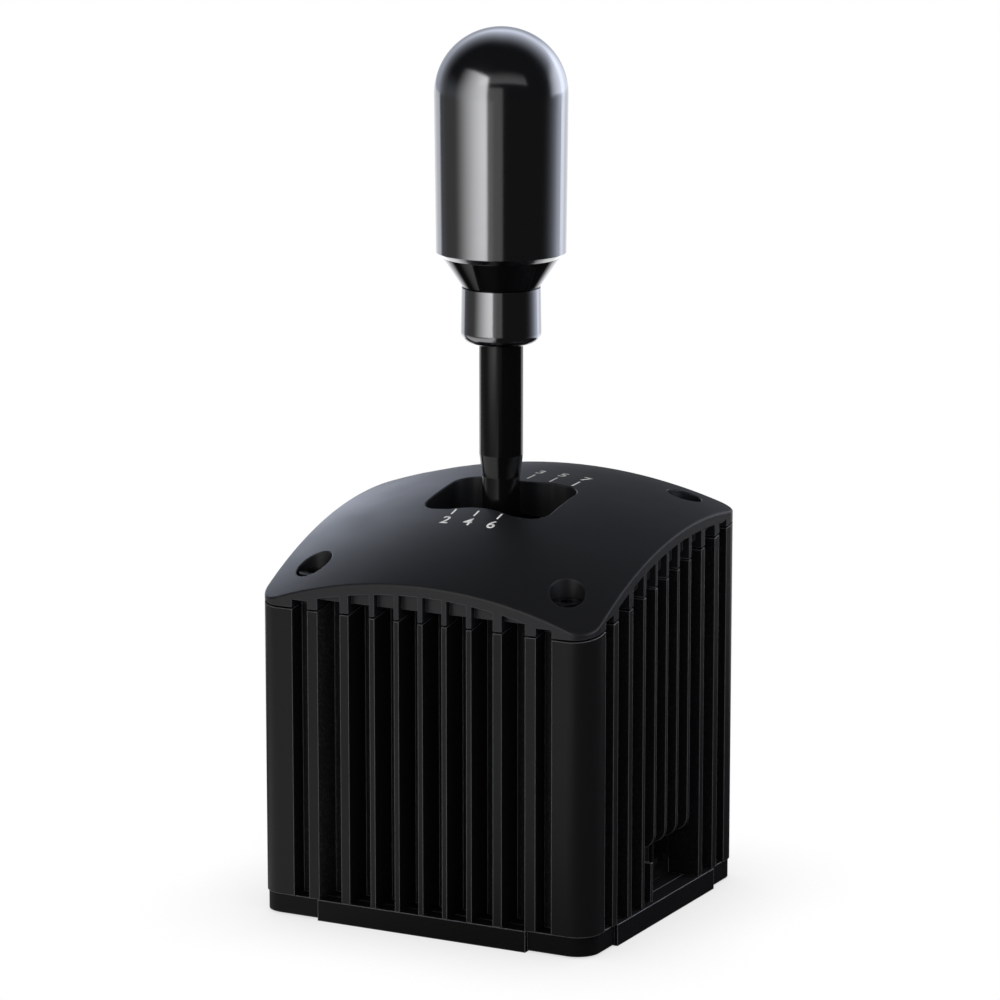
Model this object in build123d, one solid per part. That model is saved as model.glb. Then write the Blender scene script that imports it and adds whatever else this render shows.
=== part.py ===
from build123d import *
import math
import os

# An H-pattern gear shifter for a racing rig, in millimetres, with +Z up.
# The origin is the middle of the base's underside. +X is the driver's right,
# along the front face, and +Y runs to the rear.
# A finned housing with a slanted top end carries a domed cover: four side panels
# held by their tongues in the grooves of four corner posts. Inside, a yoke
# swings left and right about the Y axis, and the lever swings fore and aft in it
# about the X axis. A ball under the lever runs in the slots of a gate plate.

# Fits that several pieces share
running_clearance = 0.05
thread_clearance = 0.05
screw_clearance = 0.3
side_clearance = 0.3
overrun = 5.0

# Base plate and foot rails
base_height = 7.0
base_inset = 0.5
base_lift = 0.6
rail_proud = 0.5
rail_thickness = 6.0
rail_end_gap = 0.2
front_rail_share = 0.628
side_rail_share = 0.65

# Housing: four finned side panels between four corner posts
housing_width = 120.0
housing_depth = 111.0
housing_corner_radius = 8.0
seam_height = 112.2
seam_tilt = 10.2
slot_depth = 11.0
post_slot_depth = 6.5
slot_wall = 3.0
corner_boss_radius = 8.0
corner_boss_inset_x = 14.5
corner_boss_inset_y = 13.0
front_fin_shares = (0.0, 0.143, 0.29, 0.458, 0.652)
front_fin_widths = (1.7, 1.7, 1.8, 3.1, 3.7)
front_post_share = 0.777
side_fin_shares = (0.0, 0.147, 0.30, 0.477, 0.669)
side_fin_widths = (1.4, 1.4, 1.6, 2.6, 3.2)
side_post_share = 0.802
tongue_inset = 0.7
tongue_thickness = 2.2
tongue_length = 3.0

# Port recess, low in the right face
recess_height = 17.7
recess_fin_end_radius = 5.0
recess_stub_gap = 4.7
recess_stub_setback = 1.0
recess_side_clearance = 0.3

# Top cover
seam_gap = 0.7
crown_rise = 22.45
vault_fall = 10.2
cover_shell = 5.5
cover_edge_radius = 0.9
cover_boss_foot_radius = 7.0
band_height = 3.45
pocket_depth = 2.4
pocket_corner_radius = 0.9
undercut_height = 3.2
opening_length = 44.6
opening_width = 30.0
opening_corner_radius = 6.5
opening_waist_width = 25.4
opening_waist_chord = 22.0
opening_blend_radius = 5.0
opening_rim = 3.0
hole_edge_radius = 0.35
counterbore_radius = 5.65
counterbore_floor = 3.5

# Screws: the sizes of each, in the order of these places
SHANK, HEAD, HEAD_HEIGHT, HEXAGON, LENGTH = range(5)
cover_screw = (3.0, 5.0, 4.0, 4.0, 20.0)
base_screw = (2.5, 4.25, 2.8, 3.0, 18.0)
bracket_screw = (2.0, 3.5, 2.6, 2.5, 9.0)
gate_screw = (1.5, 2.75, 2.0, 2.0, 7.0)
board_screw = (1.25, 2.25, 1.6, 1.5, 4.0)
socket_depth_share = 0.6

# Pivot brackets and the select axis
pivot_height = 66.0
bracket_face = 27.0
bracket_thickness = 6.0
bracket_half_width = 17.0
bracket_foot_length = 12.0
bracket_foot_thickness = 6.0
bracket_screw_x = 11.0
trunnion_radius = 5.0
trunnion_end_reach = 2.0
select_bush_wall = 2.4
bush_flange_width = 1.6
bush_flange_thickness = 0.8

# Yoke and the shift axis
yoke_inner_x = 12.0
yoke_inner_y = 14.0
yoke_wall = 6.0
yoke_height = 16.0
yoke_corner_radius = 4.0
yoke_arm_height = 8.0
thrust_spacer_wall = 3.0
axle_radius = 4.0
shift_bush_wall = 1.9
circlip_thickness = 1.0
circlip_width = 2.2
circlip_groove_depth = 0.4
circlip_gap_width = 3.0
axle_end_reach = 0.7

# Lever, its sleeve and the dust dome
hub_radius = 10.0
hub_boss_radius = 9.0
hub_boss_height = 16.0
hub_stub_radius = 6.0
hub_stub_length = 32.0
rod_radius = 5.0
rod_engagement = 10.5
shaft_radius = 6.2
shaft_rise = 5.75
stem_radius = 7.1
stem_taper_length = 7.2
stem_length = 36.5
grub_screw_radius = 2.0
grub_screw_drop = 5.0
tail_shank_radius = 3.0
tail_engagement = 16.0
tail_ball_radius = 1.7
tail_ball_reach = 46.0
tail_neck_radius = 1.1
tail_neck_length = 4.0
tail_collar_length = 3.0
dome_drop = 8.65
dome_thickness = 2.0
dome_half_angle = 33.0
dome_gap = 0.6
retainer_radius = 10.0
retainer_length = 5.0

# Knob
collar_radius = 13.0
collar_top_radius = 12.75
collar_length = 18.0
collar_edge_radius = 3.5
cone_bottom_radius = 12.3
cone_top_radius = 18.8
cone_length = 9.8
bevel_length = 1.7
grip_bottom_radius = 20.95
grip_radius = 21.5
grip_length = 50.7
insert_radius = 8.0
insert_length = 26.0
insert_cap = 2.0
lock_nut_across = 16.0
lock_nut_height = 6.0
lock_nut_pocket_radius = 9.8

# Gate plate
select_step = 6.0
gate_columns = 5
shift_travel = 5.0
gate_thickness = 3.0
gate_clearance = 0.15
gate_half_length = 24.0
gate_half_width = 16.0
gate_corner_radius = 3.0
gate_screw_x = 19.0
gate_screw_y = 11.0
standoff_radius = 3.2
standoff_pin_radius = 2.0
standoff_pin_length = 3.0

# Centring springs
spring_x = 29.5
spring_y = 17.0
spring_radius = 4.2
spring_wire_radius = 0.65
spring_turns = 11
spring_post_clearance = 0.35
spring_post_height = 13.0
spring_flange_radius = 6.0
spring_flange_thickness = 2.0
spring_peg_length = 5.0
arm_end_reach = 5.0

# Electronics
board_thickness = 1.6
board_lift = 4.0
board_length = 19.7
board_low_y = -9.0
board_high_y = 26.0
board_screw_inset = 3.5
board_standoff_radius = 2.5
chip_size = 8.0
chip_height = 1.2
data_socket_y = 17.0
data_socket_width = 13.2
data_socket_height = 11.4
data_socket_length = 15.0
data_port_width = 9.7
data_port_height = 6.8
data_port_depth = 10.0
data_latch_width = 4.0
data_latch_height = 2.0
usb_socket_y = 2.0
usb_socket_width = 9.0
usb_socket_height = 3.3
usb_socket_length = 7.6
usb_wall = 0.35
usb_port_depth = 6.0
socket_proud = 1.0
sensor_board_thickness = 1.4
magnet_radius = 3.0
magnet_thickness = 2.0
hall_size = 4.0
hall_thickness = 0.5
sensor_gap = 0.3
sensor_standoff_radius = 2.2
select_board_length = 30.0
select_board_height = 12.0
shift_board_length = 25.0
shift_board_height = 10.0
sensor_screw_inset = 3.0

# Mounting inserts in the base
mount_spacing = 60.0
mount_hole_radius = 3.05
insert_wall = 1.45

# Sizes worked out from those above
half_width = housing_width / 2
half_depth = housing_depth / 2
slope = math.tan(math.radians(seam_tilt))
lean = math.cos(math.radians(seam_tilt))
crown_height = seam_height + crown_rise
vault_radius_x = (half_width ** 2 + (vault_fall * lean) ** 2) / (2 * vault_fall * lean)
vault_radius_y = ((half_depth / lean) ** 2 + (vault_fall * lean) ** 2) / (2 * vault_fall * lean)
reach = 2 * housing_width
cavity_x = half_width - slot_depth - slot_wall
cavity_y = half_depth - slot_depth - slot_wall
boss_x = half_width - corner_boss_inset_x
boss_y = half_depth - corner_boss_inset_y
corners = [(x, y) for x in (-boss_x, boss_x) for y in (-boss_y, boss_y)]
dome_radius = crown_height - pivot_height - dome_drop
yoke_outer_x = yoke_inner_x + yoke_wall
yoke_outer_y = yoke_inner_y + yoke_wall
select_bush_radius = trunnion_radius + running_clearance + select_bush_wall
shift_bush_radius = axle_radius + running_clearance + shift_bush_wall
bracket_back = bracket_face + bracket_thickness
trunnion_end = bracket_back + trunnion_end_reach
circlip_start = yoke_outer_x + side_clearance
axle_end = circlip_start + circlip_thickness + axle_end_reach
hub_half_length = yoke_inner_x - bush_flange_thickness - side_clearance
sleeve_bottom = pivot_height + hub_boss_height
taper_bottom = crown_height + shaft_rise
stem_bottom = taper_bottom + stem_taper_length
collar_bottom = stem_bottom + stem_length
collar_top = collar_bottom + collar_length
cone_top = collar_top + cone_length
grip_bottom = cone_top + bevel_length
grip_top = grip_bottom + grip_length
ball_height = pivot_height - tail_ball_reach
gate_bottom = ball_height - gate_thickness / 2
gate_top = gate_bottom + gate_thickness
board_bottom = base_height + board_lift
board_top = board_bottom + board_thickness
board_high_x = cavity_x - side_clearance
board_low_x = board_high_x - board_length
recess_back = half_width - slot_depth
recess_top = base_height + recess_height
arm_bottom = pivot_height - yoke_arm_height / 2
spring_bottom = base_height + spring_flange_thickness

parts = {}


def block(x, y, z):
    """A box given by its low and high limits along each axis."""
    center = ((x[0] + x[1]) / 2, (y[0] + y[1]) / 2, (z[0] + z[1]) / 2)
    return Pos(*center) * Box(x[1] - x[0], y[1] - y[0], z[1] - z[0])


def rod_z(radius, z, at=(0, 0)):
    """A cylinder along Z between two heights."""
    return Pos(at[0], at[1], (z[0] + z[1]) / 2) * Cylinder(radius, z[1] - z[0])


def rod_x(radius, x, at=(0, pivot_height)):
    """A cylinder along X, with its axis at the given Y and Z."""
    return Pos((x[0] + x[1]) / 2, at[0], at[1]) * Rot(0, 90, 0) * Cylinder(radius, x[1] - x[0])


def rod_y(radius, y, at=(0, pivot_height)):
    """A cylinder along Y, with its axis at the given X and Z."""
    return Pos(at[0], (y[0] + y[1]) / 2, at[1]) * Rot(90, 0, 0) * Cylinder(radius, y[1] - y[0])


def span(a, b):
    """The two limits in rising order, for a piece that is mirrored."""
    return (min(a, b), max(a, b))


def prism(sketch, z):
    """A flat shape extruded between two heights."""
    return Pos(0, 0, z[0]) * extrude(sketch, z[1] - z[0])


def turned(lines):
    """A turned piece: the closed outline holds radius and height."""
    return revolve(Plane.XZ * make_face(lines), Axis.Z)


def above_seam(lift):
    """All that lies above the slanted seam, raised by the lift."""
    tilted = Pos(0, 0, seam_height) * Rot(seam_tilt, 0, 0)
    return tilted * Pos(0, 0, lift + reach / 2) * Box(2 * reach, 2 * reach, reach)


def hex_screw(sizes):
    """A socket-head screw, head up, with the underside of its head at zero."""
    top = sizes[HEAD_HEIGHT]
    screw = rod_z(sizes[HEAD], (0, top)) + rod_z(sizes[SHANK], (-sizes[LENGTH], 0))
    hexagon = RegularPolygon(sizes[HEXAGON] / 2, 6, major_radius=False)
    return screw - prism(hexagon, (top * (1 - socket_depth_share), top + overrun))


def group(solids):
    """Identical loose pieces that share one file."""
    return Compound(children=list(solids))


def fin_gaps(half_side, fin_shares, fin_widths, post_share):
    """The slots of one side as (low, high, is_beside_post)."""
    fins = [(share * half_side - width / 2, share * half_side + width / 2)
            for share, width in zip(fin_shares, fin_widths)]
    starts = [fin[1] for fin in fins]
    ends = [fin[0] for fin in fins[1:]] + [post_share * half_side]
    gaps = [(low, high, end == ends[-1]) for low, high, end in zip(starts, ends, ends)]
    return gaps + [(-high, -low, beside_post) for low, high, beside_post in gaps]


front_gaps = fin_gaps(half_width, front_fin_shares, front_fin_widths, front_post_share)
side_gaps = fin_gaps(half_depth, side_fin_shares, side_fin_widths, side_post_share)


def slot_sketch(depth, post_depth):
    """The slots of all four sides, seen from above, to the given depths."""
    slots = Sketch()
    for low, high, beside_post in front_gaps:
        deep = post_depth if beside_post else depth
        for side in (-1, 1):
            middle = side * (half_depth - deep / 2 + overrun / 2)
            slots += Pos((low + high) / 2, middle) * Rectangle(high - low, deep + overrun)
    for low, high, beside_post in side_gaps:
        deep = post_depth if beside_post else depth
        for side in (-1, 1):
            middle = side * (half_width - deep / 2 + overrun / 2)
            slots += Pos(middle, (low + high) / 2) * Rectangle(deep + overrun, high - low)
    return slots


def outline_sketch():
    """The outer outline that the housing and the cover share."""
    return RectangleRounded(housing_width, housing_depth, housing_corner_radius)


def cavity_sketch():
    """The space inside the housing, less the four screw bosses."""
    space = Rectangle(2 * cavity_x, 2 * cavity_y)
    for x, y in corners:
        space -= Pos(x, y) * Circle(corner_boss_radius)
    return space


def panel_room(half_side, cavity, fins, turn):
    """The room of one side panel, with a tongue along each edge. It is made for
    the rear side and turned about Z, and its edges are the last fins' outer sides."""
    shares, widths = fins
    z = (base_height - overrun, crown_height)
    edge = shares[-1] * (half_width + half_depth - half_side) + widths[-1] / 2
    wall = block((-edge, edge), (cavity, half_side + overrun), z)
    tongue_face = half_side - post_slot_depth - tongue_inset
    tongue = block((-edge - tongue_length, edge + tongue_length),
                   (tongue_face - tongue_thickness, tongue_face), z)
    return Rot(0, 0, turn) * (wall + tongue)


def recess_cutter():
    """The port recess: fins end above it with rounded lower ends."""
    radius = recess_fin_end_radius
    lines = Polyline(
        (half_width, recess_top + radius),
        (half_width + overrun, recess_top + radius),
        (half_width + overrun, base_height - overrun),
        (recess_back, base_height - overrun),
        (recess_back, recess_top),
        (half_width - radius, recess_top),
    )
    arc_middle = radius * math.sqrt(0.5)
    lines += ThreePointArc(
        (half_width - radius, recess_top),
        (half_width - radius + arc_middle, recess_top + radius - arc_middle),
        (half_width, recess_top + radius),
    )
    stub_fin = -side_fin_shares[1] * half_depth
    stub_half = side_fin_widths[1] / 2
    last_fin = side_fin_shares[3] * half_depth - side_fin_widths[3] / 2
    low = stub_fin - stub_half - recess_side_clearance
    cutter = Pos(0, low, 0) * extrude(Plane.XZ * make_face(lines), low - last_fin)
    stub = block(
        (recess_back - overrun, half_width - recess_stub_setback),
        (stub_fin - stub_half, stub_fin + stub_half),
        (base_height - 2 * overrun, recess_top - recess_stub_gap),
    )
    return cutter - stub


def socket_hole(y, width, height):
    """A hole through the back of the recess for a socket on the main board."""
    return block(
        (cavity_x - overrun, recess_back + overrun),
        (y - width / 2 - side_clearance, y + width / 2 + side_clearance),
        (board_top - side_clearance, board_top + height + side_clearance),
    )


def make_housing():
    sketch = outline_sketch() - slot_sketch(slot_depth, post_slot_depth) - cavity_sketch()
    body = prism(sketch, (base_height, base_height + reach)) - above_seam(0)
    body -= recess_cutter()
    body -= socket_hole(data_socket_y, data_socket_width, data_socket_height)
    body -= socket_hole(usb_socket_y, usb_socket_width, usb_socket_height)
    for x, y in corners:
        seam = seam_height + slope * y
        deep = seam + counterbore_floor - cover_screw[LENGTH] - screw_clearance
        body -= rod_z(cover_screw[SHANK] + thread_clearance, (deep, seam + overrun), (x, y))
        top = base_lift + base_screw[HEAD_HEIGHT] + base_screw[LENGTH] + screw_clearance
        body -= rod_z(base_screw[SHANK] + thread_clearance, (base_height - overrun, top), (x, y))

    # The four panels are parted from the corner posts beside their last fins
    front_fins = (front_fin_shares, front_fin_widths)
    side_fins = (side_fin_shares, side_fin_widths)
    rooms = {
        "front": panel_room(half_depth, cavity_y, front_fins, 180),
        "rear": panel_room(half_depth, cavity_y, front_fins, 0),
        "left": panel_room(half_width, cavity_x, side_fins, 90),
        "right": panel_room(half_width, cavity_x, side_fins, -90),
    }
    posts = body
    for name, room in rooms.items():
        parts["panel_" + name] = body & room
        posts -= room
    parts["corner_posts"] = group(posts.solids())


def vault(drop):
    """The block under the cover's domed top surface, lowered by the drop."""
    side_reach = half_width + overrun
    side_fall = vault_radius_x - math.sqrt(vault_radius_x ** 2 - side_reach ** 2)
    block_depth = crown_rise + 2 * overrun + half_depth * slope
    lines = ThreePointArc((-side_reach, -side_fall), (0, 0), (side_reach, -side_fall))
    lines += Polyline(
        (side_reach, -side_fall),
        (side_reach, -side_fall - block_depth),
        (-side_reach, -side_fall - block_depth),
        (-side_reach, -side_fall),
    )
    axis = Axis((0, 0, -vault_radius_y), (1, 0, 0))
    half_turn = math.degrees(math.asin((half_depth + 2 * overrun) / vault_radius_y))
    profile = (Plane.XZ * make_face(lines)).rotate(axis, -half_turn)
    dome = revolve(profile, axis, 2 * half_turn)
    forward = Pos(0, -vault_fall * slope * lean, 0)
    return Pos(0, 0, crown_height - drop) * Rot(seam_tilt, 0, 0) * forward * dome


def opening_sketch(grow):
    """The waisted opening round the lever, grown by an offset."""
    shape = RectangleRounded(
        opening_length + 2 * grow, opening_width + 2 * grow, opening_corner_radius + grow)
    dip = (opening_width - opening_waist_width) / 2
    radius = (opening_waist_chord ** 2 / 4 + dip ** 2) / (2 * dip)
    for side in (-1, 1):
        middle = side * (opening_waist_width / 2 + radius)
        shape -= Pos(0, middle) * Circle(radius - grow)
    inner = (opening_length / 2 - opening_corner_radius + opening_waist_chord / 2) / 2
    waist_ends = [v for v in shape.vertices() if abs(v.X) < inner]
    return fillet(waist_ends, opening_blend_radius)


def pocket_cutter():
    """Shallow pockets between the skirt's fins, with rounded upper corners."""
    pockets = prism(slot_sketch(pocket_depth, post_slot_depth), (base_height, base_height + reach))
    rounded = []
    for pocket in (pockets & vault(band_height)).solids():
        box = pocket.bounding_box()
        is_front_or_rear = max(-box.min.Y, box.max.Y) > half_depth
        inward = Vector(0, 1, 0) if is_front_or_rear else Vector(1, 0, 0)
        corner_edges = []
        for edge in pocket.edges():
            middle = edge.center()
            is_inward = abs(edge.tangent_at(0).dot(inward)) > math.sqrt(0.5)
            if is_inward and middle.Z > seam_height + slope * middle.Y:
                corner_edges.append(edge)
        rounded.append(fillet(corner_edges, pocket_corner_radius))
    return rounded


def make_cover():
    walls = prism(outline_sketch(), (base_height, base_height + reach))
    body = walls & vault(0) & above_seam(seam_gap)
    top = body.faces().filter_by(GeomType.REVOLUTION).sort_by(SortBy.AREA)[-1]
    body = fillet(top.edges(), cover_edge_radius)

    # The opening and the counterbores, with a slightly broken edge
    body -= prism(opening_sketch(0), (base_height, crown_height + 2 * overrun))
    for x, y in corners:
        floor = seam_height + slope * y + counterbore_floor
        body -= rod_z(counterbore_radius, (floor, floor + reach / 2), (x, y))
    top = body.faces().filter_by(GeomType.REVOLUTION).sort_by(SortBy.AREA)[-1]
    hole_edges = [edge for wire in top.inner_wires() for edge in wire.edges()]
    body = fillet(hole_edges, hole_edge_radius)

    # Feet that carry the cover on the housing's corner posts
    for x, y in corners:
        seam = seam_height + slope * y
        foot = rod_z(cover_boss_foot_radius, (base_height, seam + 2 * seam_gap + overrun / 2), (x, y))
        body += (foot & above_seam(0)) - above_seam(counterbore_floor / 2)
        body -= rod_z(cover_screw[SHANK] + screw_clearance, (base_height, seam + counterbore_floor), (x, y))

    # The skirt: shallow pockets under a band, and deep slots just above the seam
    body -= pocket_cutter()
    slots = prism(slot_sketch(slot_depth, post_slot_depth), (base_height, base_height + reach))
    body -= slots - above_seam(undercut_height)

    # The hollow inside, with a wall left round the opening that ends over the dome
    hollow = prism(cavity_sketch(), (base_height, base_height + reach)) & vault(cover_shell)
    opening_wall = prism(opening_sketch(opening_rim), (base_height, base_height + reach))
    body -= hollow - opening_wall
    sweep_radius = opening_length / 2 + opening_rim + overrun
    dome_space = Pos(0, 0, pivot_height) * Sphere(dome_radius + dome_gap)
    body -= dome_space & rod_z(sweep_radius, (pivot_height, crown_height + overrun))
    parts["top_cover"] = body

    parts["cover_screws"] = group(
        Pos(x, y, seam_height + slope * y + counterbore_floor) * hex_screw(cover_screw)
        for x, y in corners)


def make_base():
    plate = RectangleRounded(
        housing_width - 2 * base_inset, housing_depth - 2 * base_inset,
        housing_corner_radius - base_inset)
    body = prism(plate, (base_lift, base_height))
    rails = {}
    rail_x = front_rail_share * half_width
    rail_y = side_rail_share * half_depth
    for name, side in (("front", -1), ("rear", 1)):
        outer = side * (half_depth + rail_proud)
        inner = side * (half_depth + rail_proud - rail_thickness)
        rails[name] = block((-rail_x, rail_x), span(inner, outer), (0, base_height))
        body -= block((-rail_x - rail_end_gap, rail_x + rail_end_gap),
                      span(inner, outer + side * overrun), (-overrun, base_height + overrun))
    for name, side in (("left", -1), ("right", 1)):
        outer = side * (half_width + rail_proud)
        inner = side * (half_width + rail_proud - rail_thickness)
        rails[name] = block(span(inner, outer), (-rail_y, rail_y), (0, base_height))
        body -= block(span(inner, outer + side * overrun),
                      (-rail_y - rail_end_gap, rail_y + rail_end_gap), (-overrun, base_height + overrun))
    parts["end_foot_rails"] = group((rails["front"], rails["rear"]))
    parts["side_foot_rails"] = group((rails["left"], rails["right"]))

    # Screws come up from below, in counterbores
    def screw_hole(sizes, at):
        head = rod_z(sizes[HEAD] + screw_clearance, (-overrun, base_lift + sizes[HEAD_HEIGHT]), at)
        return head + rod_z(sizes[SHANK] + screw_clearance, (0, base_height + overrun), at)

    def screw_up(sizes, at):
        return Pos(at[0], at[1], base_lift + sizes[HEAD_HEIGHT]) * Rot(180, 0, 0) * hex_screw(sizes)

    foot_screw_y = bracket_face - bracket_foot_length / 2
    foot_screws = [(x, y) for x in (-bracket_screw_x, bracket_screw_x)
                   for y in (-foot_screw_y, foot_screw_y)]
    for at in corners:
        body -= screw_hole(base_screw, at)
    for at in foot_screws:
        body -= screw_hole(bracket_screw, at)
    parts["base_screws"] = group(screw_up(base_screw, at) for at in corners)
    parts["bracket_screws"] = group(screw_up(bracket_screw, at) for at in foot_screws)

    # Threaded inserts that bolt the shifter to a rig
    insert_places = [(x, y) for x in (-mount_spacing / 2, mount_spacing / 2)
                     for y in (-mount_spacing / 2, mount_spacing / 2)]
    inserts = []
    for at in insert_places:
        sleeve = rod_z(mount_hole_radius + insert_wall, (base_lift, base_height), at)
        body -= rod_z(mount_hole_radius + insert_wall, (0, base_height + overrun), at)
        inserts.append(sleeve - rod_z(mount_hole_radius, (0, base_height + overrun), at))
    parts["mount_inserts"] = group(inserts)

    # Holes for the pins of the gate standoffs
    for at in gate_screw_places():
        body -= rod_z(standoff_pin_radius + thread_clearance,
                      (base_height - standoff_pin_length - screw_clearance, base_height + overrun), at)
    parts["base_plate"] = body


def gate_screw_places():
    return [(x, y) for x in (-gate_screw_x, gate_screw_x) for y in (-gate_screw_y, gate_screw_y)]


def make_brackets():
    foot_inner = bracket_face - bracket_foot_length
    screw_y = bracket_face - bracket_foot_length / 2
    screw_top = base_lift + bracket_screw[HEAD_HEIGHT] + bracket_screw[LENGTH] + screw_clearance
    for name, side in (("front", -1), ("rear", 1)):
        plate_y = span(side * bracket_face, side * bracket_back)
        body = block((-bracket_half_width, bracket_half_width), plate_y, (base_height, pivot_height))
        body += rod_y(bracket_half_width, plate_y)
        body += block((-bracket_half_width, bracket_half_width),
                      span(side * foot_inner, side * bracket_back),
                      (base_height, base_height + bracket_foot_thickness))
        body -= rod_y(select_bush_radius, (plate_y[0] - overrun, plate_y[1] + overrun))
        for x in (-bracket_screw_x, bracket_screw_x):
            body -= rod_z(bracket_screw[SHANK] + thread_clearance, (0, screw_top), (x, side * screw_y))
        parts["pivot_bracket_" + name] = body

        flange_y = span(side * (bracket_face - bush_flange_thickness), side * bracket_face)
        bush = rod_y(select_bush_radius, plate_y)
        bush += rod_y(select_bush_radius + bush_flange_width, flange_y)
        bush -= rod_y(trunnion_radius + running_clearance, (plate_y[0] - overrun, plate_y[1] + overrun))
        parts["select_bush_" + name] = bush


def make_gate():
    plate = RectangleRounded(2 * gate_half_length, 2 * gate_half_width, gate_corner_radius)
    slot_width = 2 * (tail_ball_radius + gate_clearance)
    travel = tail_ball_reach * math.sin(math.radians(shift_travel))
    columns = [tail_ball_reach * math.sin(math.radians(select_step * (n - (gate_columns - 1) / 2)))
               for n in range(gate_columns)]
    slots = Sketch() + SlotCenterToCenter(columns[-1] - columns[0], slot_width)
    for x in columns:
        slots += Pos(x, 0) * Rot(0, 0, 90) * SlotCenterToCenter(2 * travel, slot_width)
    body = prism(plate - slots, (gate_bottom, gate_top))
    standoffs = []
    for at in gate_screw_places():
        body -= rod_z(gate_screw[SHANK] + screw_clearance, (gate_bottom - overrun, gate_top + overrun), at)
        post = rod_z(standoff_radius, (base_height, gate_bottom), at)
        post += rod_z(standoff_pin_radius, (base_height - standoff_pin_length, base_height), at)
        hole_bottom = gate_top - gate_screw[LENGTH] - screw_clearance
        standoffs.append(post - rod_z(gate_screw[SHANK] + thread_clearance, (hole_bottom, gate_top), at))
    parts["gate_plate"] = body
    parts["gate_standoffs"] = group(standoffs)
    parts["gate_screws"] = group(
        Pos(x, y, gate_top) * hex_screw(gate_screw) for x, y in gate_screw_places())


def make_yoke():
    ring = RectangleRounded(2 * yoke_outer_x, 2 * yoke_outer_y, yoke_corner_radius)
    ring -= RectangleRounded(2 * yoke_inner_x, 2 * yoke_inner_y, yoke_corner_radius)
    ring_z = (pivot_height - yoke_height / 2, pivot_height + yoke_height / 2)
    body = prism(ring, ring_z)
    arm_half = spring_x + arm_end_reach
    body += block((-arm_half, arm_half), (-yoke_outer_y, -yoke_inner_y),
                  (arm_bottom, arm_bottom + yoke_arm_height))
    peg_radius = spring_radius - spring_wire_radius - spring_post_clearance
    for side in (-1, 1):
        peg_z = (arm_bottom - spring_peg_length, arm_bottom)
        body += rod_z(peg_radius, peg_z, (side * spring_x, -spring_y))
    body -= rod_x(shift_bush_radius, (-yoke_outer_x - overrun, yoke_outer_x + overrun))
    body -= rod_y(trunnion_radius, (-yoke_outer_y - overrun, yoke_outer_y + overrun))
    parts["select_yoke"] = body

    spacers = []
    for name, side in (("front", -1), ("rear", 1)):
        parts["trunnion_pin_" + name] = rod_y(
            trunnion_radius, span(side * yoke_inner_y, side * trunnion_end))
        spacer_y = span(side * yoke_outer_y, side * (bracket_face - bush_flange_thickness - side_clearance))
        spacer = rod_y(trunnion_radius + running_clearance + thrust_spacer_wall, spacer_y)
        spacers.append(spacer - rod_y(trunnion_radius + running_clearance, spacer_y))
    parts["thrust_spacers"] = group(spacers)

    for name, side in (("left", -1), ("right", 1)):
        wall_x = span(side * yoke_inner_x, side * yoke_outer_x)
        flange_x = span(side * (yoke_inner_x - bush_flange_thickness), side * yoke_inner_x)
        bush = rod_x(shift_bush_radius, wall_x)
        bush += rod_x(shift_bush_radius + bush_flange_width, flange_x)
        bush -= rod_x(axle_radius + running_clearance, (-yoke_outer_x - overrun, yoke_outer_x + overrun))
        parts["shift_bush_" + name] = bush


def make_axle():
    axle = rod_x(axle_radius, (-axle_end, axle_end))
    clips = []
    groove_radius = axle_radius - circlip_groove_depth
    for side in (-1, 1):
        clip_x = span(side * circlip_start, side * (circlip_start + circlip_thickness))
        axle -= rod_x(axle_radius + overrun, clip_x) - rod_x(groove_radius, clip_x)
        clip = rod_x(groove_radius + circlip_width, clip_x) - rod_x(groove_radius, clip_x)
        clips.append(clip - block(clip_x, (-circlip_gap_width / 2, circlip_gap_width / 2),
                                  (pivot_height, pivot_height + hub_radius)))
    parts["shift_axle"] = axle
    parts["axle_circlips"] = group(clips)


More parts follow.
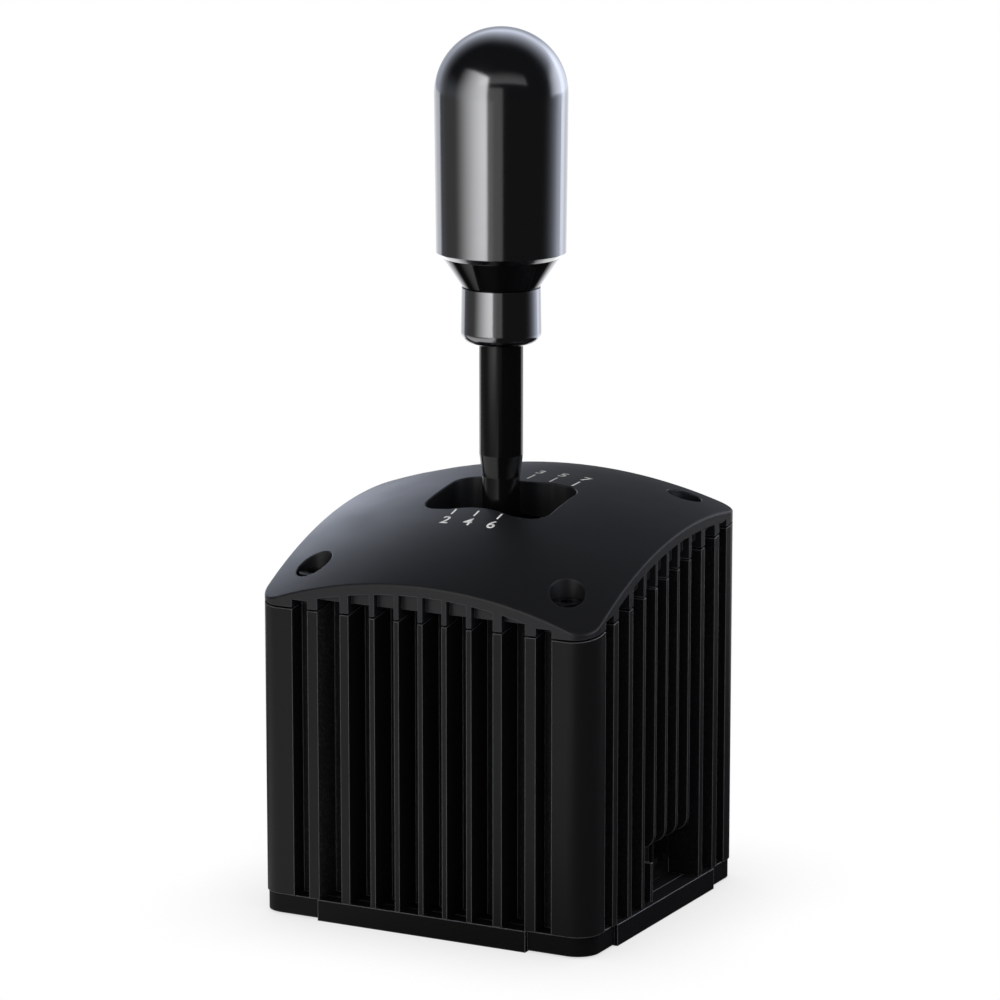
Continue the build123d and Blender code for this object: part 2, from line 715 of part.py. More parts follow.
def make_lever():
    stub_bottom = pivot_height - hub_stub_length
    hub = rod_x(hub_radius, (-hub_half_length, hub_half_length))
    hub += rod_z(hub_boss_radius, (pivot_height, sleeve_bottom))
    hub += rod_z(hub_stub_radius, (stub_bottom, pivot_height))
    hub -= rod_x(axle_radius, (-hub_half_length - overrun, hub_half_length + overrun))
    rod_bottom = sleeve_bottom - rod_engagement
    hub -= rod_z(rod_radius, (rod_bottom, sleeve_bottom + overrun))
    tail_top = stub_bottom + tail_engagement
    hub -= rod_z(tail_shank_radius, (stub_bottom - overrun, tail_top))
    grub_at = (0, sleeve_bottom - grub_screw_drop)
    grub_y = (-hub_boss_radius, -rod_radius)
    hub -= rod_y(grub_screw_radius, (-hub_boss_radius - overrun, -rod_radius), grub_at)
    parts["lever_hub"] = hub
    hexagon = RegularPolygon(grub_screw_radius / 2, 6, major_radius=False)
    socket_y = -hub_boss_radius + (hub_boss_radius - rod_radius) / 2
    socket = extrude(Plane.XZ * hexagon, hub_boss_radius)
    socket = Pos(0, socket_y, grub_at[1]) * socket
    parts["hub_grub_screw"] = rod_y(grub_screw_radius, grub_y, grub_at) - socket

    rod_top = cone_top + insert_length - insert_cap
    parts["lever_rod"] = rod_z(rod_radius, (rod_bottom, rod_top))
    parts["stem_sleeve"] = turned(Polyline(
        (rod_radius, sleeve_bottom),
        (shaft_radius, sleeve_bottom),
        (shaft_radius, taper_bottom),
        (stem_radius, stem_bottom),
        (stem_radius, collar_bottom),
        (rod_radius, collar_bottom),
        (rod_radius, sleeve_bottom),
    ))

    neck_bottom = ball_height
    neck_top = ball_height + tail_neck_length
    collar_low = stub_bottom - tail_collar_length
    tail = turned(Polyline(
        (0, tail_top),
        (tail_shank_radius, tail_top),
        (tail_shank_radius, collar_low),
        (tail_neck_radius, neck_top),
        (tail_neck_radius, neck_bottom),
        (0, neck_bottom),
        (0, tail_top),
    ))
    parts["tail_pin"] = tail + Pos(0, 0, ball_height) * Sphere(tail_ball_radius)


def make_dome():
    half = math.radians(dome_half_angle)
    inner_radius = dome_radius - dome_thickness

    def on_sphere(radius, angle):
        return (radius * math.sin(angle), pivot_height + radius * math.cos(angle))

    lines = ThreePointArc(*[on_sphere(dome_radius, half * share) for share in (0, 0.5, 1)])
    lines += Line(on_sphere(dome_radius, half), on_sphere(inner_radius, half))
    lines += ThreePointArc(*[on_sphere(inner_radius, half * share) for share in (1, 0.5, 0)])
    lines += Line(on_sphere(inner_radius, 0), on_sphere(dome_radius, 0))
    bore = rod_z(shaft_radius + running_clearance, (pivot_height, crown_height))
    parts["dust_dome"] = turned(lines) - bore

    ring_top = pivot_height + math.sqrt(inner_radius ** 2 - retainer_radius ** 2)
    ring = rod_z(retainer_radius, (ring_top - retainer_length, ring_top))
    parts["dome_retainer"] = ring - bore


def make_knob():
    arc_share = math.sqrt(0.5)
    edge = collar_edge_radius
    nut_bottom = collar_top - lock_nut_height
    lines = Polyline(
        (rod_radius, collar_bottom),
        (collar_radius - edge, collar_bottom),
    )
    lines += ThreePointArc(
        (collar_radius - edge, collar_bottom),
        (collar_radius - edge + edge * arc_share, collar_bottom + edge - edge * arc_share),
        (collar_radius, collar_bottom + edge),
    )
    lines += Polyline(
        (collar_radius, collar_bottom + edge),
        (collar_top_radius, collar_top),
        (lock_nut_pocket_radius, collar_top),
        (lock_nut_pocket_radius, nut_bottom),
        (rod_radius, nut_bottom),
        (rod_radius, collar_bottom),
    )
    parts["knob_collar"] = turned(lines)

    nut = prism(RegularPolygon(lock_nut_across / 2, 6, major_radius=False), (nut_bottom, collar_top))
    parts["lock_nut"] = nut - rod_z(rod_radius, (nut_bottom - overrun, collar_top + overrun))

    parts["knob_cone"] = turned(Polyline(
        (rod_radius, collar_top),
        (cone_bottom_radius, collar_top),
        (cone_top_radius, cone_top),
        (rod_radius, cone_top),
        (rod_radius, collar_top),
    ))

    knob_top = grip_top + grip_radius
    lines = Polyline(
        (0, knob_top),
        (0, cone_top + insert_length),
        (insert_radius, cone_top + insert_length),
        (insert_radius, cone_top),
        (cone_top_radius, cone_top),
        (grip_bottom_radius, grip_bottom),
        (grip_radius, grip_top),
    )
    lines += ThreePointArc(
        (grip_radius, grip_top),
        (grip_radius * arc_share, grip_top + grip_radius * arc_share),
        (0, knob_top),
    )
    parts["knob_body"] = turned(lines)

    insert = rod_z(insert_radius, (cone_top, cone_top + insert_length))
    rod_top = cone_top + insert_length - insert_cap
    parts["knob_insert"] = insert - rod_z(rod_radius, (cone_top - overrun, rod_top))


def coil(radius, wire_radius, turns, bottom, top):
    """One unbroken wire, its centre line made of two arcs a quarter turn."""
    low = bottom + wire_radius
    rise = top - bottom - 2 * wire_radius

    def point(quarter):
        angle = math.radians(90 * quarter)
        return Vector(radius * math.cos(angle), radius * math.sin(angle), low + rise * quarter / (4 * turns))

    def heading(quarter):
        angle = math.radians(90 * quarter)
        climb = rise / (2 * math.pi * turns)
        return Vector(-radius * math.sin(angle), radius * math.cos(angle), climb).normalized()

    arcs = []
    for quarter in range(4 * turns):
        start, end = point(quarter), point(quarter + 1)
        out, into = heading(quarter), heading(quarter + 1)
        chord = end - start
        both = chord.dot(out + into)
        bend = 2 * (1 - out.dot(into))
        handle = (math.sqrt(both ** 2 + bend * chord.dot(chord)) - both) / bend
        knee, last_knee = start + out * handle, end - into * handle
        middle = (knee + last_knee) * 0.5
        arcs.append(TangentArc(start, middle, tangent=out))
        arcs.append(TangentArc(middle, end, tangent=(last_knee - knee).normalized()))
    print("coil: least gap between turns", round(rise / turns - 2 * wire_radius, 2))
    section = Plane(origin=point(0), z_dir=heading(0)) * Circle(wire_radius)
    return sweep(section, path=Wire(arcs))


def make_springs():
    post_radius = spring_radius - spring_wire_radius - spring_post_clearance
    posts = []
    spring = coil(spring_radius, spring_wire_radius, spring_turns, spring_bottom, arm_bottom)
    for name, side in (("left", -1), ("right", 1)):
        at = (side * spring_x, -spring_y)
        post = rod_z(spring_flange_radius, (base_height, spring_bottom), at)
        posts.append(post + rod_z(post_radius, (spring_bottom, spring_bottom + spring_post_height), at))
        parts["centring_spring_" + name] = Pos(at[0], at[1], 0) * spring
    parts["spring_posts"] = group(posts)


def make_main_board():
    inset = board_screw_inset
    places = [(board_low_x + inset, board_low_y + inset), (board_low_x + inset, board_high_y - inset),
              (board_high_x - inset, board_low_y + inset)]
    board = block((board_low_x, board_high_x), (board_low_y, board_high_y), (board_bottom, board_top))
    standoffs = []
    for at in places:
        board -= rod_z(board_screw[SHANK] + screw_clearance, (base_height, board_top + overrun), at)
        post = rod_z(board_standoff_radius, (base_height, board_bottom), at)
        hole_bottom = board_top - board_screw[LENGTH] - screw_clearance
        standoffs.append(post - rod_z(board_screw[SHANK] + thread_clearance, (hole_bottom, board_top), at))
    parts["main_board"] = board
    parts["board_standoffs"] = group(standoffs)
    parts["board_screws"] = group(Pos(x, y, board_top) * hex_screw(board_screw) for x, y in places)

    chip_x = board_low_x + side_clearance
    chip_y = (board_low_y + board_high_y) / 2
    parts["microcontroller"] = block(
        (chip_x, chip_x + chip_size),
        (chip_y - chip_size / 2, chip_y + chip_size / 2), (board_top, board_top + chip_height))

    front = recess_back + socket_proud
    body = block((front - data_socket_length, front),
                 (data_socket_y - data_socket_width / 2, data_socket_y + data_socket_width / 2),
                 (board_top, board_top + data_socket_height))
    middle = board_top + data_socket_height / 2
    port_x = (front - data_port_depth, front + overrun)
    body -= block(port_x, (data_socket_y - data_port_width / 2, data_socket_y + data_port_width / 2),
                  (middle - data_port_height / 2, middle + data_port_height / 2))
    body -= block(port_x, (data_socket_y - data_latch_width / 2, data_socket_y + data_latch_width / 2),
                  (middle - data_port_height / 2 - data_latch_height, middle))
    parts["data_socket"] = body

    shell = RectangleRounded(usb_socket_width, usb_socket_height, usb_socket_height / 2 - usb_wall)
    port = RectangleRounded(usb_socket_width - 2 * usb_wall, usb_socket_height - 2 * usb_wall,
                            usb_socket_height / 2 - 2 * usb_wall)
    usb_middle = board_top + usb_socket_height / 2
    face = Plane(origin=(front, usb_socket_y, usb_middle), x_dir=(0, 1, 0), z_dir=(1, 0, 0))
    body = extrude(face * shell, -usb_socket_length)
    body -= extrude(face * port, -usb_port_depth)
    parts["usb_socket"] = body


def make_sensors():
    # Select axis: a magnet on the rear trunnion, read by a board on the rear bracket
    magnet_y = (trunnion_end, trunnion_end + magnet_thickness)
    parts["select_magnet"] = rod_y(magnet_radius, magnet_y)
    hall_y = (magnet_y[1] + sensor_gap, magnet_y[1] + sensor_gap + hall_thickness)
    board_y = (hall_y[1], hall_y[1] + sensor_board_thickness)
    half_hall = hall_size / 2
    parts["select_hall_sensor"] = block(
        (-half_hall, half_hall), hall_y, (pivot_height - half_hall, pivot_height + half_hall))
    board = block((-select_board_length / 2, select_board_length / 2), board_y,
                  (pivot_height - select_board_height / 2, pivot_height + select_board_height / 2))
    standoffs = []
    for side in (-1, 1):
        x = side * (select_board_length / 2 - sensor_screw_inset)
        board -= rod_y(board_screw[SHANK] + screw_clearance,
                       (board_y[0] - overrun, board_y[1] + overrun), (x, pivot_height))
        post = rod_y(sensor_standoff_radius, (bracket_back, board_y[0]), (x, pivot_height))
        hole_y = (board_y[1] - board_screw[LENGTH] - screw_clearance, board_y[1])
        standoffs.append(post - rod_y(board_screw[SHANK] + thread_clearance, hole_y, (x, pivot_height)))
    parts["select_sensor_board"] = board
    parts["select_sensor_standoffs"] = group(standoffs)
    parts["select_sensor_screws"] = group(
        Pos(side * (select_board_length / 2 - sensor_screw_inset), board_y[1], pivot_height)
        * Rot(-90, 0, 0) * hex_screw(board_screw) for side in (-1, 1))

    # Shift axis: a magnet on the axle's right end, read by a board on the yoke
    magnet_x = (axle_end, axle_end + magnet_thickness)
    parts["shift_magnet"] = rod_x(magnet_radius, magnet_x)
    hall_x = (magnet_x[1] + sensor_gap, magnet_x[1] + sensor_gap + hall_thickness)
    board_x = (hall_x[1], hall_x[1] + sensor_board_thickness)
    parts["shift_hall_sensor"] = block(
        hall_x, (-half_hall, half_hall), (pivot_height - half_hall, pivot_height + half_hall))
    board = block(board_x, (-shift_board_length / 2, shift_board_length / 2),
                  (pivot_height - shift_board_height / 2, pivot_height + shift_board_height / 2))
    standoffs = []
    for side in (-1, 1):
        y = side * (shift_board_length / 2 - sensor_screw_inset)
        board -= rod_x(board_screw[SHANK] + screw_clearance,
                       (board_x[0] - overrun, board_x[1] + overrun), (y, pivot_height))
        post = rod_x(sensor_standoff_radius, (yoke_outer_x, board_x[0]), (y, pivot_height))
        hole_x = (board_x[1] - board_screw[LENGTH] - screw_clearance, board_x[1])
        standoffs.append(post - rod_x(board_screw[SHANK] + thread_clearance, hole_x, (y, pivot_height)))
    parts["shift_sensor_board"] = board
    parts["shift_sensor_standoffs"] = group(standoffs)
    parts["shift_sensor_screws"] = group(
        Pos(board_x[1], side * (shift_board_length / 2 - sensor_screw_inset), pivot_height)
        * Rot(0, 90, 0) * hex_screw(board_screw) for side in (-1, 1))


make_housing()
make_cover()
make_base()
make_brackets()
make_gate()
make_yoke()
make_axle()
make_lever()
make_dome()
make_knob()
make_springs()
make_main_board()
make_sensors()

os.makedirs("parts", exist_ok=True)
for name, shape in parts.items():
    export_step(shape, "parts/" + name + ".step")
    print(name, round(shape.volume, 1))
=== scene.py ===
# %% [markdown]
# # A gear shifter for a racing rig
#
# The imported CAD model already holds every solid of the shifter: a finned black case, a domed
# cover with a waisted opening, and a long lever with a turned metal knob. This lesson gives
# those solids their finishes, adds the printed gear marks, and sets up a small photo studio.
# The model is loaded first, and nothing of it is moved.

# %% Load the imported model
import math

import bpy
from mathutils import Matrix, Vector


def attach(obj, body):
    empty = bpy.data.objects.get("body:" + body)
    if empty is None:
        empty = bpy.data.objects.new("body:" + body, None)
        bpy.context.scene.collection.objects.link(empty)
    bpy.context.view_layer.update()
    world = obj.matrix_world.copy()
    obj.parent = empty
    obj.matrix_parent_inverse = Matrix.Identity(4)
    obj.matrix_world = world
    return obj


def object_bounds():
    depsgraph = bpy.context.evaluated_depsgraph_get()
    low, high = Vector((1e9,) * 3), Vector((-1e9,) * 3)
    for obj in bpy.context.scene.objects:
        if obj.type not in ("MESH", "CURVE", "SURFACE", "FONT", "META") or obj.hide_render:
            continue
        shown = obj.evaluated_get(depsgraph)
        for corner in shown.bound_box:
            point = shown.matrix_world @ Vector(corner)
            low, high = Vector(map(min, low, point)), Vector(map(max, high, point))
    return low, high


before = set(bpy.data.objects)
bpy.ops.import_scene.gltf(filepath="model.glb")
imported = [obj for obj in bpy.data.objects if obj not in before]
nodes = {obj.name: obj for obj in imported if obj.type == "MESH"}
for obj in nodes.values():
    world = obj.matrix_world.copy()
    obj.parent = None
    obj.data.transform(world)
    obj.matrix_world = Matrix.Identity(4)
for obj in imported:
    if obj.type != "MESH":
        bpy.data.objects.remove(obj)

cad_low, cad_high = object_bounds()
bpy.ops.object.select_all(action="DESELECT")
print("nodes", len(nodes), "size in mm", [round(1000 * s, 1) for s in cad_high - cad_low])

# %% [markdown]
# ## The camera
#
# The photograph looks down on the near corner of the case with a long lens. A camera could be
# placed by eye, but here its place was worked out once from the corners of the case, and only
# the result is kept: a turn round the shifter, a height angle, a distance and a lens.

# %% Place the camera
camera_azimuth = math.radians(27.56)
camera_elevation = math.radians(11.71)
camera_distance = 1.5
to_camera = Vector((
    math.sin(camera_azimuth) * math.cos(camera_elevation),
    -math.cos(camera_azimuth) * math.cos(camera_elevation),
    math.sin(camera_elevation),
))
aim = Vector((-0.00035, -0.00018, 0.1322))
bpy.ops.object.camera_add(location=aim + to_camera * camera_distance,
                          rotation=(-to_camera).to_track_quat("-Z", "Y").to_euler())
camera = bpy.context.object
camera.data.lens = 166.5
camera.data.clip_end = 50
bpy.context.scene.camera = camera
bpy.context.scene.view_settings.view_transform = "Standard"
print("camera at", [round(v, 3) for v in camera.location])

# %% [markdown]
# ## Helpers for materials
#
# Every finish is a Principled shader. Two effects are shared: a fine grain, from noise at the
# scale of blasted or moulded surfaces, and an edge effect that finds the edges of a solid,
# rounds their shading and gives a mask for a painted highlight along them. Each is a node group
# that gives out values and normals, and the shader stays in the material.

# %% Short cuts for nodes
def add_node(tree, kind, **values):
    """A node with its settings and input values set by name."""
    node = tree.nodes.new(kind)
    for name, value in values.items():
        if hasattr(node, name):
            setattr(node, name, value)
        else:
            node.inputs[name.replace("_", " ")].default_value = value
    return node


def math_node(tree, operation, first, second=None, clamp=False):
    """A Math node whose inputs are sockets or numbers, and its output socket."""
    node = tree.nodes.new("ShaderNodeMath")
    node.operation = operation
    node.use_clamp = clamp
    for index, value in enumerate((first, second)):
        if value is None:
            continue
        if isinstance(value, (int, float)):
            node.inputs[index].default_value = value
        else:
            tree.links.new(value, node.inputs[index])
    return node.outputs[0]


def smooth(tree, value, low, high, at_low, at_high):
    """A soft step of a value, from one level to another."""
    step = add_node(tree, "ShaderNodeMapRange", interpolation_type="SMOOTHSTEP")
    set_range(step, low, high, at_low, at_high)
    tree.links.new(value, step.inputs["Value"])
    return step.outputs["Result"]


def towards(tree, vector, azimuth):
    """How far a vector points to an azimuth, from -1 to 1 for a unit vector."""
    dot = tree.nodes.new("ShaderNodeVectorMath")
    dot.operation = "DOT_PRODUCT"
    turn = math.radians(azimuth)
    dot.inputs[1].default_value = (math.sin(turn), -math.cos(turn), 0)
    tree.links.new(vector, dot.inputs[0])
    return dot.outputs["Value"]


def new_group(name, inputs, outputs):
    """An empty shader node group with float inputs and outputs of the given kinds."""
    group = bpy.data.node_groups.new(name, "ShaderNodeTree")
    for socket, value in inputs:
        made = group.interface.new_socket(socket, in_out="INPUT", socket_type="NodeSocketFloat")
        made.default_value = value
    for socket, kind in outputs:
        group.interface.new_socket(socket, in_out="OUTPUT", socket_type=kind)
    return group, group.nodes.new("NodeGroupInput"), group.nodes.new("NodeGroupOutput")


def set_range(node, from_min, from_max, to_min, to_max):
    """The four ends of a Map Range node."""
    for socket, value in (("From Min", from_min), ("From Max", from_max),
                          ("To Min", to_min), ("To Max", to_max)):
        node.inputs[socket].default_value = value


print("helpers ready")

# %% The grain group
grain, grain_in, grain_out = new_group(
    "fine_grain", [("Grains per metre", 3000.0)],
    [("Height", "NodeSocketFloat"), ("Patches", "NodeSocketFloat")])
place = add_node(grain, "ShaderNodeTexCoord")
specks = add_node(grain, "ShaderNodeTexNoise", Detail=1.0, Roughness=0.5)
patches = add_node(grain, "ShaderNodeTexNoise", Scale=45.0, Detail=3.0, Roughness=0.55)
grain.links.new(place.outputs["Object"], specks.inputs["Vector"])
grain.links.new(place.outputs["Object"], patches.inputs["Vector"])
grain.links.new(grain_in.outputs["Grains per metre"], specks.inputs["Scale"])
grain.links.new(specks.outputs["Fac"], grain_out.inputs["Height"])
grain.links.new(patches.outputs["Fac"], grain_out.inputs["Patches"])
print("group", grain.name, [s.name for s in grain.interface.items_tree])

# %% The edge group, with a mask for a painted highlight
edges, edges_in, edges_out = new_group(
    "rounded_edge_and_highlight", [("Radius", 0.0003)], [("Normal", "NodeSocketVector"), ("Edge", "NodeSocketFloat")])
bevel = add_node(edges, "ShaderNodeBevel", samples=4)
surface = add_node(edges, "ShaderNodeNewGeometry")
edges.links.new(edges_in.outputs["Radius"], bevel.inputs["Radius"])
product = edges.nodes.new("ShaderNodeVectorMath")
product.operation = "DOT_PRODUCT"
edges.links.new(bevel.outputs["Normal"], product.inputs[0])
edges.links.new(surface.outputs["Normal"], product.inputs[1])
turned = math_node(edges, "SUBTRACT", 1.0, product.outputs["Value"])
edge_contrast = 4.0
mask = math_node(edges, "MULTIPLY", turned, edge_contrast, clamp=True)
edges.links.new(mask, edges_out.inputs["Edge"])
edges.links.new(bevel.outputs["Normal"], edges_out.inputs["Normal"])
print("group", edges.name, [s.name for s in edges.interface.items_tree])


# %% A material from its look
def finish(name, color, roughness, metallic=0.0, specular=0.5, coat=0.0, coat_roughness=0.1,
           grains=3000.0, bump=0.00002, roughness_spread=0.08, edge_radius=0.0003, edge_highlight_gain=1.6):
    """One finish: its colour lighter on the edges as a painted highlight, its roughness in soft patches.
    """
    material = bpy.data.materials.new(name)
    material.use_nodes = True
    tree = material.node_tree
    shader = tree.nodes["Principled BSDF"]
    shader.inputs["Metallic"].default_value = metallic
    shader.inputs["Specular IOR Level"].default_value = specular
    shader.inputs["Coat Weight"].default_value = coat
    shader.inputs["Coat Roughness"].default_value = coat_roughness

    grain_node = add_node(tree, "ShaderNodeGroup", node_tree=grain)
    grain_node.inputs["Grains per metre"].default_value = grains
    edge_node = add_node(tree, "ShaderNodeGroup", node_tree=edges)
    edge_node.inputs["Radius"].default_value = edge_radius

    # Painted highlight: the colour turns lighter where the edge mask is.
    tint = add_node(tree, "ShaderNodeMix", data_type="RGBA")
    tint.inputs["A"].default_value = (*color, 1.0)
    tint.inputs["B"].default_value = (*(min(1.0, edge_highlight_gain * c) for c in color), 1.0)
    tree.links.new(edge_node.outputs["Edge"], tint.inputs["Factor"])
    tree.links.new(tint.outputs["Result"], shader.inputs["Base Color"])

    spread = add_node(tree, "ShaderNodeMapRange")
    spread.inputs["To Min"].default_value = max(0.02, roughness - roughness_spread)
    spread.inputs["To Max"].default_value = roughness + roughness_spread
    tree.links.new(grain_node.outputs["Patches"], spread.inputs["Value"])
    tree.links.new(spread.outputs["Result"], shader.inputs["Roughness"])

    relief = add_node(tree, "ShaderNodeBump", Strength=1.0, Distance=bump)
    tree.links.new(grain_node.outputs["Height"], relief.inputs["Height"])
    tree.links.new(edge_node.outputs["Normal"], relief.inputs["Normal"])
    tree.links.new(relief.outputs["Normal"], shader.inputs["Normal"])
    print("finish", name, "roughness", roughness)
    return material


def wear(material, *names):
    """Gives a material to CAD nodes, in place of the plain one they came with."""
    for name in names:
        slots = nodes[name].material_slots
        if not slots:
            nodes[name].data.materials.append(material)
        for slot in slots:
            slot.material = material
    print(material.name, "on", len(names), "nodes")


# %% [markdown]
# ## The case and its base
#
# The case is anodised aluminium: black, blasted with fine beads, and smooth where the fins'
# outer faces were machined. The base under it is moulded plastic with a coarser texture. Both
# are so dark that their shape only shows by the sheen of their faces and edges. The bead marks
# could be painted as a picture, but noise on object coordinates needs no unwrapping. A mask
# made of distances keeps them in the slots. On the walls beside the posts the same mask paints
# a lit wall: brighter grains that stand in for light falling on those walls.

# %% A blasted speckle in the slots, with a painted lit wall beside the posts
fin_face_x = 0.0597
fin_face_y = 0.0552
corner_sum = 0.103
painted_lit_wall_x = 0.0375
painted_lit_wall_spread = 0.0008
grit_and_lit_wall, grit_and_lit_wall_in, grit_and_lit_wall_out = new_group("slot_grit_and_lit_wall", [], [("Amount", "NodeSocketFloat")])
place = add_node(grit_and_lit_wall, "ShaderNodeTexCoord")
grit = add_node(grit_and_lit_wall, "ShaderNodeTexNoise", Scale=1700.0, Detail=1.0)
grit_and_lit_wall.links.new(place.outputs["Object"], grit.inputs["Vector"])
sides = add_node(grit_and_lit_wall, "ShaderNodeSeparateXYZ")
grit_and_lit_wall.links.new(place.outputs["Object"], sides.inputs[0])
across_case = math_node(grit_and_lit_wall, "ABSOLUTE", sides.outputs["X"])
along_case = math_node(grit_and_lit_wall, "ABSOLUTE", sides.outputs["Y"])
under_fins = math_node(grit_and_lit_wall, "MULTIPLY", math_node(grit_and_lit_wall, "LESS_THAN", across_case, fin_face_x),
                       math_node(grit_and_lit_wall, "LESS_THAN", along_case, fin_face_y))
off_corners = math_node(grit_and_lit_wall, "LESS_THAN",
                        math_node(grit_and_lit_wall, "ADD", across_case, along_case), corner_sum)
under_fins = math_node(grit_and_lit_wall, "MULTIPLY", under_fins, off_corners)
# Painted light: the walls beside the posts get brighter grains, which stand in for light falling on
# them.
from_wall = math_node(grit_and_lit_wall, "ABSOLUTE", math_node(grit_and_lit_wall, "SUBTRACT", across_case, painted_lit_wall_x))
painted_lit_wall = math_node(grit_and_lit_wall, "LESS_THAN", from_wall, painted_lit_wall_spread)
grains_lit = smooth(grit_and_lit_wall, grit.outputs["Fac"], 0.5, 0.75, 0.0, 1.0)
level = math_node(grit_and_lit_wall, "MULTIPLY", under_fins, math_node(
    grit_and_lit_wall, "ADD", math_node(grit_and_lit_wall, "MULTIPLY", grains_lit, 0.25),
    math_node(grit_and_lit_wall, "MULTIPLY", painted_lit_wall, math_node(grit_and_lit_wall, "ADD", grains_lit, 0.25))))
grit_and_lit_wall.links.new(level, grit_and_lit_wall_out.inputs["Amount"])
print("group", grit_and_lit_wall.name)

# %% Finish the case and the base
# The lighter edges of the case and the base are a painted highlight for their thin bright edge lines.
case_black = finish("case_black", (0.009, 0.0092, 0.0095), roughness=0.42, specular=0.22,
                    grains=2600.0, bump=0.00003, edge_radius=0.0004, edge_highlight_gain=36.0)
base_black = finish("base_black", (0.006, 0.006, 0.0065), roughness=0.55, specular=0.12,
                    grains=1100.0, bump=0.0001, edge_radius=0.0005, edge_highlight_gain=50.0)

# %% Mix the speckle and the painted lit wall into the case's colour
tree = case_black.node_tree
shader = tree.nodes["Principled BSDF"]
grit_and_lit_wall_node = add_node(tree, "ShaderNodeGroup", node_tree=grit_and_lit_wall)
grit_and_lit_wall_mix = add_node(tree, "ShaderNodeMix", data_type="RGBA")
grit_and_lit_wall_mix.inputs["B"].default_value = (0.07, 0.07, 0.072, 1.0)
tree.links.new(grit_and_lit_wall_node.outputs["Amount"], grit_and_lit_wall_mix.inputs["Factor"])
tree.links.new(shader.inputs["Base Color"].links[0].from_socket, grit_and_lit_wall_mix.inputs["A"])
tree.links.new(grit_and_lit_wall_mix.outputs["Result"], shader.inputs["Base Color"])
wear(case_black, "corner_posts", "panel_front", "panel_rear", "panel_left", "panel_right")
wear(base_black, "base_plate", "end_foot_rails", "side_foot_rails")

# %% [markdown]
# ## The cover
#
# The cover has a matte black coat with a very fine grain, which catches the light on the far
# left slope. A clear coat over black would shine too sharply, so the sheen comes from a middle
# roughness alone. The screws are black oxide steel, which is metallic and a little smoother.

# %% Finish the cover and its screws
# The cover's lighter edges are a painted highlight, which also draws the bright rings of the
# counterbores.
cover_black = finish("cover_black", (0.012, 0.0125, 0.014), roughness=0.4, specular=0.4,
                     grains=3600.0, bump=0.00003, edge_highlight_gain=12.0)
screw_black = finish("screw_black", (0.02, 0.02, 0.021), roughness=0.35, metallic=0.8,
                     edge_radius=0.00015)
wear(cover_black, "top_cover")
wear(screw_black, "cover_screws", "base_screws", "bracket_screws", "gate_screws", "hub_grub_screw")

# %% [markdown]
# ## The lever and the knob
#
# The knob is graphite anodised metal, smooth enough to mirror the lamps. The cone under it is
# gloss black, and the stem is satin black. The knob's bands could be painted on, but they would
# stay put when the lever moves. As plain reflections they move as real ones do.

# %% Finish the lever and the knob
graphite = finish("graphite", (0.3, 0.302, 0.308), roughness=0.13, metallic=1.0,
                  grains=5200.0, bump=0.000004, roughness_spread=0.03)
cone_black = finish("cone_black", (0.003, 0.003, 0.0035), roughness=0.08, specular=0.5,
                    roughness_spread=0.02, bump=0.000001)
stem_black = finish("stem_black", (0.004, 0.004, 0.004), roughness=0.14, specular=0.45,
                    roughness_spread=0.03, bump=0.000003)
dome_black = finish("dome_black", (0.008, 0.008, 0.0085), roughness=0.35, specular=0.4)
wear(graphite, "knob_collar", "knob_body")
wear(cone_black, "knob_cone")
wear(stem_black, "stem_sleeve")
wear(dome_black, "dust_dome")

# %% [markdown]
# ## The pieces inside
#
# Nothing inside shows in the photograph, but the pieces have the finishes that such pieces
# have: plain and machined metal, bronze bushes, green boards and moulded chips. Each finish is
# one call of the same helper, so that all of them share the grain and the edges.

# %% Finish the pieces inside
steel = finish("steel", (0.5, 0.5, 0.51), roughness=0.3, metallic=1.0, bump=0.00001)
spring_steel = finish("spring_steel", (0.4, 0.4, 0.42), roughness=0.25, metallic=1.0,
                      edge_radius=0.0001)
milled_aluminium = finish("milled_aluminium", (0.62, 0.62, 0.64), roughness=0.35, metallic=1.0)
bronze = finish("bronze", (0.55, 0.36, 0.16), roughness=0.4, metallic=1.0)
board_green = finish("board_green", (0.01, 0.09, 0.035), roughness=0.3, coat=0.4,
                     edge_radius=0.0001)
chip_black = finish("chip_black", (0.012, 0.012, 0.012), roughness=0.5, edge_radius=0.0001)
bright_metal = finish("bright_metal", (0.7, 0.7, 0.72), roughness=0.15, metallic=1.0,
                      edge_radius=0.0001)
wear(steel, "trunnion_pin_front", "trunnion_pin_rear", "shift_axle", "axle_circlips", "lever_rod",
     "tail_pin", "lock_nut", "gate_plate", "board_screws", "select_sensor_screws",
     "shift_sensor_screws", "gate_standoffs", "spring_posts")
wear(spring_steel, "centring_spring_left", "centring_spring_right")
wear(milled_aluminium, "pivot_bracket_front", "pivot_bracket_rear", "select_yoke", "lever_hub",
     "dome_retainer")
wear(bronze, "select_bush_front", "select_bush_rear", "shift_bush_left", "shift_bush_right",
     "thrust_spacers", "mount_inserts", "knob_insert", "board_standoffs",
     "select_sensor_standoffs", "shift_sensor_standoffs")
wear(board_green, "main_board", "select_sensor_board", "shift_sensor_board")
wear(chip_black, "microcontroller", "data_socket", "select_hall_sensor", "shift_hall_sensor")
wear(bright_metal, "usb_socket", "select_magnet", "shift_magnet")

# %% [markdown]
# ## The printed gear marks
#
# Plain white numbers and ticks stand round the opening, even ones in front and odd ones behind.
# They could be part of the cover's colour, but a thin print of its own stays sharp at any
# distance. Each is made flat above the cover, pressed down on it by a Shrinkwrap modifier and
# given the thickness of a print by a Solidify modifier.

